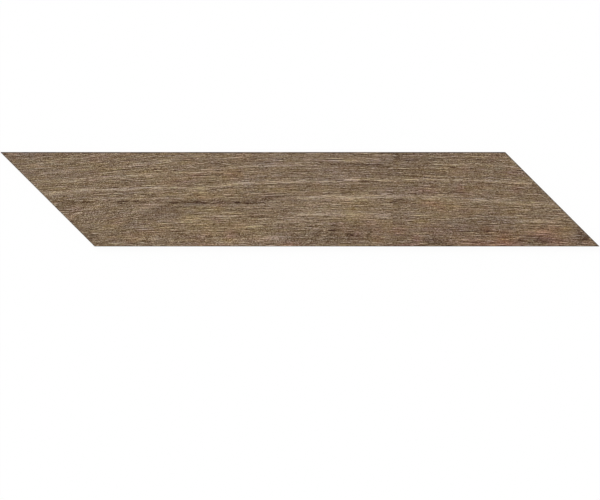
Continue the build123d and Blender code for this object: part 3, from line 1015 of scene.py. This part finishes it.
edge_material, tree, shader, place, colour = body_material("ground_porcelain_edge", 0.03 * MM)
# Dark brown on the bevel and top of the edge: the print running over them, darkened further as painted shade
bevel_print_and_shade = height_share(tree, place, tile_high.z - 0.75 * MM, tile_high.z - 0.45 * MM)
colour = mix_colour(tree, bevel_print_and_shade, colour, linear(48, 36, 25))
wire(tree, shader.inputs["Base Color"], colour)

back_material, tree, shader, place, colour = body_material("pressed_porcelain_back", 0.0)
in_cell = height_share(tree, place, 0.0, 0.3 * MM)
patches = noise(tree, vector_maths(tree, "MULTIPLY", place, POWDER_PER_METRE), detail=4)
powder = maths(tree, "MULTIPLY_ADD", in_cell, -0.5, maths(tree, "MULTIPLY", patches, 1.2))
colour = mix_colour(tree, powder, colour, linear(196, 190, 180))
wire(tree, shader.inputs["Base Color"], colour)

for material in (face_material, edge_material, back_material):
    mesh.materials.append(material)
print("finishes:", [material.name for material in mesh.materials])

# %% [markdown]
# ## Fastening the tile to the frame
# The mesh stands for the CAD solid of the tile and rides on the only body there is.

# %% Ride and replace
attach(tile, "root")
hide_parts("tile")
print("the tile rides on root and stands for node tile")

# %% [markdown]
# ## Floor, light and camera
# A plain white floor carries the tile, and to the camera it shines almost wholly by itself, so
# that it is white and the tile's soft shadow is faint. The light is an even sky and one wide
# lamp, low enough from the rear left to draw out the grain. Together they give a level surface
# just the light at which a colour renders as it is written.

# %% Floor
SHOWN_GLOW = 0.95


def seen_directly(tree):
    """1 for what the camera sees, also in a reflection or through glass, and 0 for lighting rays."""
    path = tree.nodes.new("ShaderNodeLightPath").outputs
    seen = maths(tree, "MAXIMUM", path["Is Camera Ray"], path["Is Glossy Ray"])
    return maths(tree, "MAXIMUM", seen, path["Is Transmission Ray"])


def mix_shaders(tree, share, first, second):
    """A Mix Shader between two shader outputs."""
    made = tree.nodes.new("ShaderNodeMixShader")
    for socket, value in zip(made.inputs, (share, first, second)):
        wire(tree, socket, value)
    return made.outputs[0]


def plain_shader(tree, kind, colour):
    """A shader with one colour on its first input."""
    made = tree.nodes.new(kind)
    made.inputs[0].default_value = colour
    return made.outputs[0]


floor_half = 4.0
floor_mesh = bpy.data.meshes.new("floor")
floor_corners = np.array([(-1, -1, 0), (1, -1, 0), (1, 1, 0), (-1, 1, 0)]) * floor_half
floor_mesh.from_pydata(floor_corners.tolist(), [], [(0, 1, 2, 3)])
floor = bpy.data.objects.new("floor", floor_mesh)
bpy.context.scene.collection.objects.link(floor)
floor_material, tree, shader = new_material("white_floor")
white = (1.0, 1.0, 1.0, 1.0)
lit = plain_shader(tree, "ShaderNodeBsdfDiffuse", white)
glowing = mix_shaders(tree, SHOWN_GLOW, lit, plain_shader(tree, "ShaderNodeEmission", white))
bounce = plain_shader(tree, "ShaderNodeBsdfDiffuse", (0.8, 0.8, 0.8, 1.0))
shown = mix_shaders(tree, seen_directly(tree), bounce, glowing)
wire(tree, tree.nodes["Material Output"].inputs["Surface"], shown)
floor_mesh.materials.append(floor_material)
print(f"floor {2 * floor_half:.0f} m across")

# %% Light
SKY_SHARE = 0.6
lamp_from = np.array([-0.35, 0.5, 0.85])
lamp_from /= np.linalg.norm(lamp_from)

world = bpy.data.worlds.new("studio")
bpy.context.scene.world = world
world.use_nodes = True
tree = world.node_tree
sky = tree.nodes["Background"]
sky.inputs["Color"].default_value = white
sky.inputs["Strength"].default_value = SKY_SHARE
shown = mix_shaders(
    tree, seen_directly(tree), sky.outputs[0], plain_shader(tree, "ShaderNodeBackground", white)
)
wire(tree, tree.nodes["World Output"].inputs["Surface"], shown)

lamp = bpy.data.lights.new("wide_lamp", "SUN")
lamp.energy = (1 - SKY_SHARE) * pi / lamp_from[2]
lamp.angle = radians(25)
lamp_object = bpy.data.objects.new("wide_lamp", lamp)
lamp_object.rotation_mode = "QUATERNION"
lamp_object.rotation_quaternion = Vector(lamp_from).to_track_quat("Z", "Y")
bpy.context.scene.collection.objects.link(lamp_object)
bpy.context.scene.view_settings.view_transform = "Standard"
print(f"sky {SKY_SHARE}, lamp {lamp.energy:.2f} W/m2")

# %% Camera
PHOTO_WIDTH_PX = 600
PHOTO_HEIGHT_PX = 500
LEFT_TIP_PX = 0.17
RIGHT_TIP_PX = 599.62
REAR_EDGE_PX = 152.0
FRONT_EDGE_PX = 246.5

metres_per_px = tile_length / (RIGHT_TIP_PX - LEFT_TIP_PX)
camera = bpy.data.cameras.new("camera")
camera.lens = 300
camera.clip_end = 50
camera_object = bpy.data.objects.new("camera", camera)
camera_object.location = (
    (PHOTO_WIDTH_PX / 2 - (LEFT_TIP_PX + RIGHT_TIP_PX) / 2) * metres_per_px,
    ((REAR_EDGE_PX + FRONT_EDGE_PX) / 2 - PHOTO_HEIGHT_PX / 2) * metres_per_px,
    tile_high.z + PHOTO_WIDTH_PX * metres_per_px * camera.lens / camera.sensor_width,
)
bpy.context.scene.collection.objects.link(camera_object)
bpy.context.scene.camera = camera_object
print(f"camera {camera_object.location.z:.2f} m above the floor")
